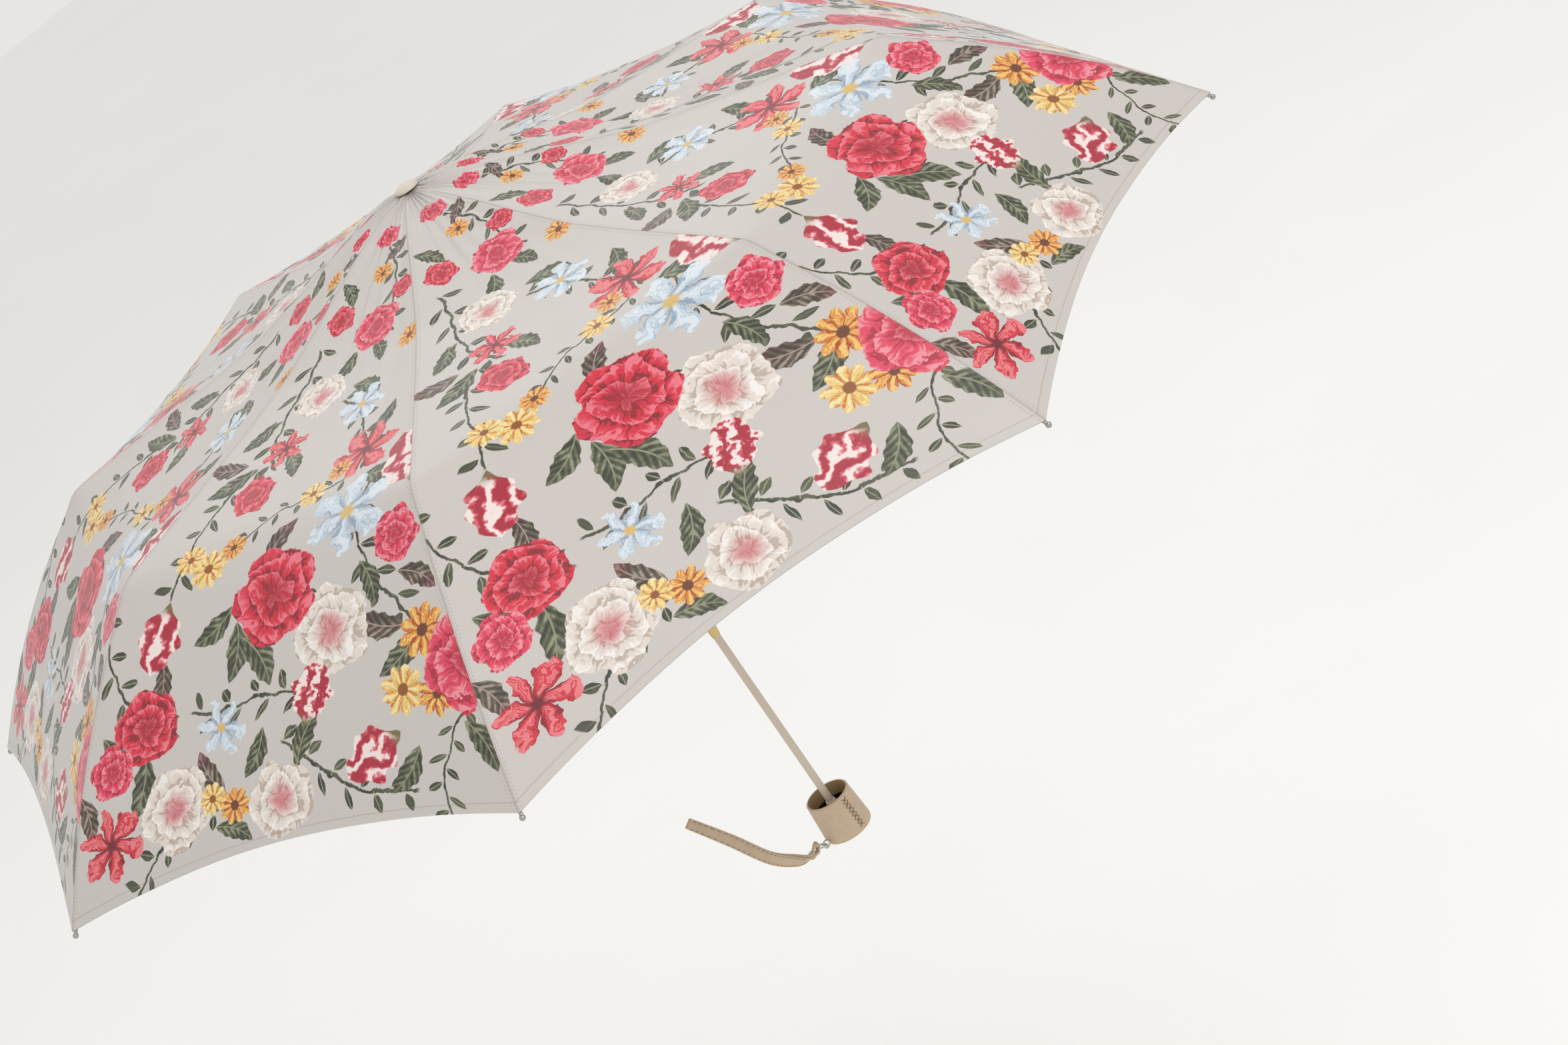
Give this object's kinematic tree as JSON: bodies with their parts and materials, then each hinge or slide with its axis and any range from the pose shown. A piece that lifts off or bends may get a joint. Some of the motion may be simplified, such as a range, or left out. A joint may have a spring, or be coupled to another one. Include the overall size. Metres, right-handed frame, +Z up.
{
  "type": "folding umbrella",
  "caption": "Compact folding umbrella, open, with a printed fabric canopy on jointed ribs, a telescopic shaft, a leather-covered cup handle and a wrist strap on rings.",
  "frame": {"origin": "centre of the handle's flat closed end", "axes": "+Z up the shaft to the canopy, +X along the first rib, -X through the strap's eye"},
  "size_m": [0.9738, 0.9738, 0.5771],
  "materials": {
    "printed_fabric": null,
    "beige_paint": "satin beige enamel",
    "rib_steel": "plain zinc-plated steel",
    "bright_steel": "polished nickel plating",
    "gold_metal": "satin brass",
    "beige_plastic": "satin moulded plastic",
    "pale_plastic": "pale moulded plastic",
    "brown_plastic": "brown moulded plastic",
    "leather": "fine-grained beige leather"
  },
  "bodies": {
    "handle": {"handle_cup": "brown_plastic", "handle_cover": "leather", "handle_end_disc": "leather", "handle_ferrule": "pale_plastic", "eye_ring": "bright_steel", "lower_tube": "beige_paint", "lower_bush": "pale_plastic"},
    "middle_stage": {"middle_tube": "beige_paint", "middle_collar": "gold_metal", "upper_bush": "pale_plastic"},
    "top_stage": {"top_tube": "beige_paint", "crown": "beige_plastic", "crown_wire": "rib_steel", "top_cap": "beige_plastic", "canopy": "printed_fabric"},
    "runner": {"runner": "beige_plastic"},
    "split_ring": {"split_ring": "bright_steel"},
    "strap": {"wrist_strap": "leather", "strap_rivet": "bright_steel"},
    "main_rib_1": {"main_rib_1": "rib_steel"},
    "stretcher_1": {"stretcher_1": "rib_steel"},
    "control_link_1": {"control_link_1": "rib_steel"},
    "middle_rib_1": {"middle_rib_1": "rib_steel"},
    "outer_rib_1": {"outer_rib_1": "rib_steel"},
    "main_rib_2": {"main_rib_2": "rib_steel"},
    "stretcher_2": {"stretcher_2": "rib_steel"},
    "control_link_2": {"control_link_2": "rib_steel"},
    "middle_rib_2": {"middle_rib_2": "rib_steel"},
    "outer_rib_2": {"outer_rib_2": "rib_steel"},
    "main_rib_3": {"main_rib_3": "rib_steel"},
    "stretcher_3": {"stretcher_3": "rib_steel"},
    "control_link_3": {"control_link_3": "rib_steel"},
    "middle_rib_3": {"middle_rib_3": "rib_steel"},
    "outer_rib_3": {"outer_rib_3": "rib_steel"},
    "main_rib_4": {"main_rib_4": "rib_steel"},
    "stretcher_4": {"stretcher_4": "rib_steel"},
    "control_link_4": {"control_link_4": "rib_steel"},
    "middle_rib_4": {"middle_rib_4": "rib_steel"},
    "outer_rib_4": {"outer_rib_4": "rib_steel"},
    "main_rib_5": {"main_rib_5": "rib_steel"},
    "stretcher_5": {"stretcher_5": "rib_steel"},
    "control_link_5": {"control_link_5": "rib_steel"},
    "middle_rib_5": {"middle_rib_5": "rib_steel"},
    "outer_rib_5": {"outer_rib_5": "rib_steel"},
    "main_rib_6": {"main_rib_6": "rib_steel"},
    "stretcher_6": {"stretcher_6": "rib_steel"},
    "control_link_6": {"control_link_6": "rib_steel"},
    "middle_rib_6": {"middle_rib_6": "rib_steel"},
    "outer_rib_6": {"outer_rib_6": "rib_steel"},
    "main_rib_7": {"main_rib_7": "rib_steel"},
    "stretcher_7": {"stretcher_7": "rib_steel"},
    "control_link_7": {"control_link_7": "rib_steel"},
    "middle_rib_7": {"middle_rib_7": "rib_steel"},
    "outer_rib_7": {"outer_rib_7": "rib_steel"},
    "main_rib_8": {"main_rib_8": "rib_steel"},
    "stretcher_8": {"stretcher_8": "rib_steel"},
    "control_link_8": {"control_link_8": "rib_steel"},
    "middle_rib_8": {"middle_rib_8": "rib_steel"},
    "outer_rib_8": {"outer_rib_8": "rib_steel"}
  },
  "joints": [
    {"name": "lower_telescope", "type": "slide", "parent": "handle", "child": "middle_stage", "axis": [0, 0, -1], "range_m": [0, 0.1475]},
    {"name": "upper_telescope", "type": "slide", "parent": "middle_stage", "child": "top_stage", "axis": [0, 0, -1], "range_m": [0, 0.18]},
    {"name": "runner_slide", "type": "slide", "parent": "top_stage", "child": "runner", "axis": [0, 0, -1], "range_m": [0, 0.13725], "deforming": ["canopy"]},
    {"name": "ring_swing", "type": "hinge", "parent": "handle", "child": "split_ring", "pos_m": [-0.0226, 0, 0.0046], "axis": [0, 1, 0], "range_deg": [-80, 25]},
    {"name": "strap_swing", "type": "hinge", "parent": "split_ring", "child": "strap", "pos_m": [-0.0313, 0, 0.00866], "axis": [0, 1, 0], "range_deg": [-60, 30]},
    {"name": "main_rib_1_hinge", "type": "hinge", "parent": "top_stage", "child": "main_rib_1", "pos_m": [0.007, 0, 0.5665], "axis": [0, 1, 0], "range_deg": [0, 73.85]},
    {"name": "stretcher_1_hinge", "type": "hinge", "parent": "main_rib_1", "child": "stretcher_1", "pos_m": [0.09599, 0, 0.54315], "axis": [0, 1, 0], "range_deg": [-147.65, 0]},
    {"name": "control_link_1_hinge", "type": "hinge", "parent": "stretcher_1", "child": "control_link_1", "pos_m": [0.08438, 0, 0.54011], "axis": [0, 1, 0], "range_deg": [0, 141.42]},
    {"name": "middle_rib_1_hinge", "type": "hinge", "parent": "main_rib_1", "child": "middle_rib_1", "pos_m": [0.1666, 0, 0.52463], "axis": [0, 1, 0], "range_deg": [-169.9, 0]},
    {"name": "outer_rib_1_hinge", "type": "hinge", "parent": "middle_rib_1", "child": "outer_rib_1", "pos_m": [0.32027, 0, 0.50153], "axis": [0, 1, 0], "range_deg": [0, 147.43]},
    {"name": "main_rib_2_hinge", "type": "hinge", "parent": "top_stage", "child": "main_rib_2", "pos_m": [0.00495, -0.00495, 0.5665], "axis": [0.7071, 0.7071, 0], "range_deg": [0, 73.85]},
    {"name": "stretcher_2_hinge", "type": "hinge", "parent": "main_rib_2", "child": "stretcher_2", "pos_m": [0.06787, -0.06787, 0.54315], "axis": [0.7071, 0.7071, 0], "range_deg": [-147.65, 0]},
    {"name": "control_link_2_hinge", "type": "hinge", "parent": "stretcher_2", "child": "control_link_2", "pos_m": [0.05967, -0.05967, 0.54011], "axis": [0.7071, 0.7071, 0], "range_deg": [0, 141.42]},
    {"name": "middle_rib_2_hinge", "type": "hinge", "parent": "main_rib_2", "child": "middle_rib_2", "pos_m": [0.1178, -0.1178, 0.52463], "axis": [0.7071, 0.7071, 0], "range_deg": [-169.9, 0]},
    {"name": "outer_rib_2_hinge", "type": "hinge", "parent": "middle_rib_2", "child": "outer_rib_2", "pos_m": [0.22647, -0.22647, 0.50153], "axis": [0.7071, 0.7071, 0], "range_deg": [0, 147.43]},
    {"name": "main_rib_3_hinge", "type": "hinge", "parent": "top_stage", "child": "main_rib_3", "pos_m": [0, -0.007, 0.5665], "axis": [1, 0, 0], "range_deg": [0, 73.85]},
    {"name": "stretcher_3_hinge", "type": "hinge", "parent": "main_rib_3", "child": "stretcher_3", "pos_m": [0, -0.09599, 0.54315], "axis": [1, 0, 0], "range_deg": [-147.65, 0]},
    {"name": "control_link_3_hinge", "type": "hinge", "parent": "stretcher_3", "child": "control_link_3", "pos_m": [0, -0.08438, 0.54011], "axis": [1, 0, 0], "range_deg": [0, 141.42]},
    {"name": "middle_rib_3_hinge", "type": "hinge", "parent": "main_rib_3", "child": "middle_rib_3", "pos_m": [0, -0.1666, 0.52463], "axis": [1, 0, 0], "range_deg": [-169.9, 0]},
    {"name": "outer_rib_3_hinge", "type": "hinge", "parent": "middle_rib_3", "child": "outer_rib_3", "pos_m": [0, -0.32027, 0.50153], "axis": [1, 0, 0], "range_deg": [0, 147.43]},
    {"name": "main_rib_4_hinge", "type": "hinge", "parent": "top_stage", "child": "main_rib_4", "pos_m": [-0.00495, -0.00495, 0.5665], "axis": [0.7071, -0.7071, 0], "range_deg": [0, 73.85]},
    {"name": "stretcher_4_hinge", "type": "hinge", "parent": "main_rib_4", "child": "stretcher_4", "pos_m": [-0.06787, -0.06787, 0.54315], "axis": [0.7071, -0.7071, 0], "range_deg": [-147.65, 0]},
    {"name": "control_link_4_hinge", "type": "hinge", "parent": "stretcher_4", "child": "control_link_4", "pos_m": [-0.05967, -0.05967, 0.54011], "axis": [0.7071, -0.7071, 0], "range_deg": [0, 141.42]},
    {"name": "middle_rib_4_hinge", "type": "hinge", "parent": "main_rib_4", "child": "middle_rib_4", "pos_m": [-0.1178, -0.1178, 0.52463], "axis": [0.7071, -0.7071, 0], "range_deg": [-169.9, 0]},
    {"name": "outer_rib_4_hinge", "type": "hinge", "parent": "middle_rib_4", "child": "outer_rib_4", "pos_m": [-0.22647, -0.22647, 0.50153], "axis": [0.7071, -0.7071, 0], "range_deg": [0, 147.43]},
    {"name": "main_rib_5_hinge", "type": "hinge", "parent": "top_stage", "child": "main_rib_5", "pos_m": [-0.007, 0, 0.5665], "axis": [0, -1, 0], "range_deg": [0, 73.85]},
    {"name": "stretcher_5_hinge", "type": "hinge", "parent": "main_rib_5", "child": "stretcher_5", "pos_m": [-0.09599, 0, 0.54315], "axis": [0, -1, 0], "range_deg": [-147.65, 0]},
    {"name": "control_link_5_hinge", "type": "hinge", "parent": "stretcher_5", "child": "control_link_5", "pos_m": [-0.08438, 0, 0.54011], "axis": [0, -1, 0], "range_deg": [0, 141.42]},
    {"name": "middle_rib_5_hinge", "type": "hinge", "parent": "main_rib_5", "child": "middle_rib_5", "pos_m": [-0.1666, 0, 0.52463], "axis": [0, -1, 0], "range_deg": [-169.9, 0]},
    {"name": "outer_rib_5_hinge", "type": "hinge", "parent": "middle_rib_5", "child": "outer_rib_5", "pos_m": [-0.32027, 0, 0.50153], "axis": [0, -1, 0], "range_deg": [0, 147.43]},
    {"name": "main_rib_6_hinge", "type": "hinge", "parent": "top_stage", "child": "main_rib_6", "pos_m": [-0.00495, 0.00495, 0.5665], "axis": [-0.7071, -0.7071, 0], "range_deg": [0, 73.85]},
    {"name": "stretcher_6_hinge", "type": "hinge", "parent": "main_rib_6", "child": "stretcher_6", "pos_m": [-0.06787, 0.06787, 0.54315], "axis": [-0.7071, -0.7071, 0], "range_deg": [-147.65, 0]},
    {"name": "control_link_6_hinge", "type": "hinge", "parent": "stretcher_6", "child": "control_link_6", "pos_m": [-0.05967, 0.05967, 0.54011], "axis": [-0.7071, -0.7071, 0], "range_deg": [0, 141.42]},
    {"name": "middle_rib_6_hinge", "type": "hinge", "parent": "main_rib_6", "child": "middle_rib_6", "pos_m": [-0.1178, 0.1178, 0.52463], "axis": [-0.7071, -0.7071, 0], "range_deg": [-169.9, 0]},
    {"name": "outer_rib_6_hinge", "type": "hinge", "parent": "middle_rib_6", "child": "outer_rib_6", "pos_m": [-0.22647, 0.22647, 0.50153], "axis": [-0.7071, -0.7071, 0], "range_deg": [0, 147.43]},
    {"name": "main_rib_7_hinge", "type": "hinge", "parent": "top_stage", "child": "main_rib_7", "pos_m": [0, 0.007, 0.5665], "axis": [-1, 0, 0], "range_deg": [0, 73.85]},
    {"name": "stretcher_7_hinge", "type": "hinge", "parent": "main_rib_7", "child": "stretcher_7", "pos_m": [0, 0.09599, 0.54315], "axis": [-1, 0, 0], "range_deg": [-147.65, 0]},
    {"name": "control_link_7_hinge", "type": "hinge", "parent": "stretcher_7", "child": "control_link_7", "pos_m": [0, 0.08438, 0.54011], "axis": [-1, 0, 0], "range_deg": [0, 141.42]},
    {"name": "middle_rib_7_hinge", "type": "hinge", "parent": "main_rib_7", "child": "middle_rib_7", "pos_m": [0, 0.1666, 0.52463], "axis": [-1, 0, 0], "range_deg": [-169.9, 0]},
    {"name": "outer_rib_7_hinge", "type": "hinge", "parent": "middle_rib_7", "child": "outer_rib_7", "pos_m": [0, 0.32027, 0.50153], "axis": [-1, 0, 0], "range_deg": [0, 147.43]},
    {"name": "main_rib_8_hinge", "type": "hinge", "parent": "top_stage", "child": "main_rib_8", "pos_m": [0.00495, 0.00495, 0.5665], "axis": [-0.7071, 0.7071, 0], "range_deg": [0, 73.85]},
    {"name": "stretcher_8_hinge", "type": "hinge", "parent": "main_rib_8", "child": "stretcher_8", "pos_m": [0.06787, 0.06787, 0.54315], "axis": [-0.7071, 0.7071, 0], "range_deg": [-147.65, 0]},
    {"name": "control_link_8_hinge", "type": "hinge", "parent": "stretcher_8", "child": "control_link_8", "pos_m": [0.05967, 0.05967, 0.54011], "axis": [-0.7071, 0.7071, 0], "range_deg": [0, 141.42]},
    {"name": "middle_rib_8_hinge", "type": "hinge", "parent": "main_rib_8", "child": "middle_rib_8", "pos_m": [0.1178, 0.1178, 0.52463], "axis": [-0.7071, 0.7071, 0], "range_deg": [-169.9, 0]},
    {"name": "outer_rib_8_hinge", "type": "hinge", "parent": "middle_rib_8", "child": "outer_rib_8", "pos_m": [0.22647, 0.22647, 0.50153], "axis": [-0.7071, 0.7071, 0], "range_deg": [0, 147.43]}
  ],
  "couplings": [
    {"joint": "main_rib_1_hinge", "follows": "runner_slide", "rad_per_m": 9.385},
    {"joint": "stretcher_1_hinge", "follows": "runner_slide", "rad_per_m": -18.77},
    {"joint": "control_link_1_hinge", "follows": "runner_slide", "rad_per_m": 17.978},
    {"joint": "middle_rib_1_hinge", "follows": "runner_slide", "rad_per_m": -21.6},
    {"joint": "outer_rib_1_hinge", "follows": "runner_slide", "rad_per_m": 18.742},
    {"joint": "main_rib_2_hinge", "follows": "runner_slide", "rad_per_m": 9.385},
    {"joint": "stretcher_2_hinge", "follows": "runner_slide", "rad_per_m": -18.77},
    {"joint": "control_link_2_hinge", "follows": "runner_slide", "rad_per_m": 17.978},
    {"joint": "middle_rib_2_hinge", "follows": "runner_slide", "rad_per_m": -21.6},
    {"joint": "outer_rib_2_hinge", "follows": "runner_slide", "rad_per_m": 18.742},
    {"joint": "main_rib_3_hinge", "follows": "runner_slide", "rad_per_m": 9.385},
    {"joint": "stretcher_3_hinge", "follows": "runner_slide", "rad_per_m": -18.77},
    {"joint": "control_link_3_hinge", "follows": "runner_slide", "rad_per_m": 17.978},
    {"joint": "middle_rib_3_hinge", "follows": "runner_slide", "rad_per_m": -21.6},
    {"joint": "outer_rib_3_hinge", "follows": "runner_slide", "rad_per_m": 18.742},
    {"joint": "main_rib_4_hinge", "follows": "runner_slide", "rad_per_m": 9.385},
    {"joint": "stretcher_4_hinge", "follows": "runner_slide", "rad_per_m": -18.77},
    {"joint": "control_link_4_hinge", "follows": "runner_slide", "rad_per_m": 17.978},
    {"joint": "middle_rib_4_hinge", "follows": "runner_slide", "rad_per_m": -21.6},
    {"joint": "outer_rib_4_hinge", "follows": "runner_slide", "rad_per_m": 18.742},
    {"joint": "main_rib_5_hinge", "follows": "runner_slide", "rad_per_m": 9.385},
    {"joint": "stretcher_5_hinge", "follows": "runner_slide", "rad_per_m": -18.77},
    {"joint": "control_link_5_hinge", "follows": "runner_slide", "rad_per_m": 17.978},
    {"joint": "middle_rib_5_hinge", "follows": "runner_slide", "rad_per_m": -21.6},
    {"joint": "outer_rib_5_hinge", "follows": "runner_slide", "rad_per_m": 18.742},
    {"joint": "main_rib_6_hinge", "follows": "runner_slide", "rad_per_m": 9.385},
    {"joint": "stretcher_6_hinge", "follows": "runner_slide", "rad_per_m": -18.77},
    {"joint": "control_link_6_hinge", "follows": "runner_slide", "rad_per_m": 17.978},
    {"joint": "middle_rib_6_hinge", "follows": "runner_slide", "rad_per_m": -21.6},
    {"joint": "outer_rib_6_hinge", "follows": "runner_slide", "rad_per_m": 18.742},
    {"joint": "main_rib_7_hinge", "follows": "runner_slide", "rad_per_m": 9.385},
    {"joint": "stretcher_7_hinge", "follows": "runner_slide", "rad_per_m": -18.77},
    {"joint": "control_link_7_hinge", "follows": "runner_slide", "rad_per_m": 17.978},
    {"joint": "middle_rib_7_hinge", "follows": "runner_slide", "rad_per_m": -21.6},
    {"joint": "outer_rib_7_hinge", "follows": "runner_slide", "rad_per_m": 18.742},
    {"joint": "main_rib_8_hinge", "follows": "runner_slide", "rad_per_m": 9.385},
    {"joint": "stretcher_8_hinge", "follows": "runner_slide", "rad_per_m": -18.77},
    {"joint": "control_link_8_hinge", "follows": "runner_slide", "rad_per_m": 17.978},
    {"joint": "middle_rib_8_hinge", "follows": "runner_slide", "rad_per_m": -21.6},
    {"joint": "outer_rib_8_hinge", "follows": "runner_slide", "rad_per_m": 18.742}
  ]
}
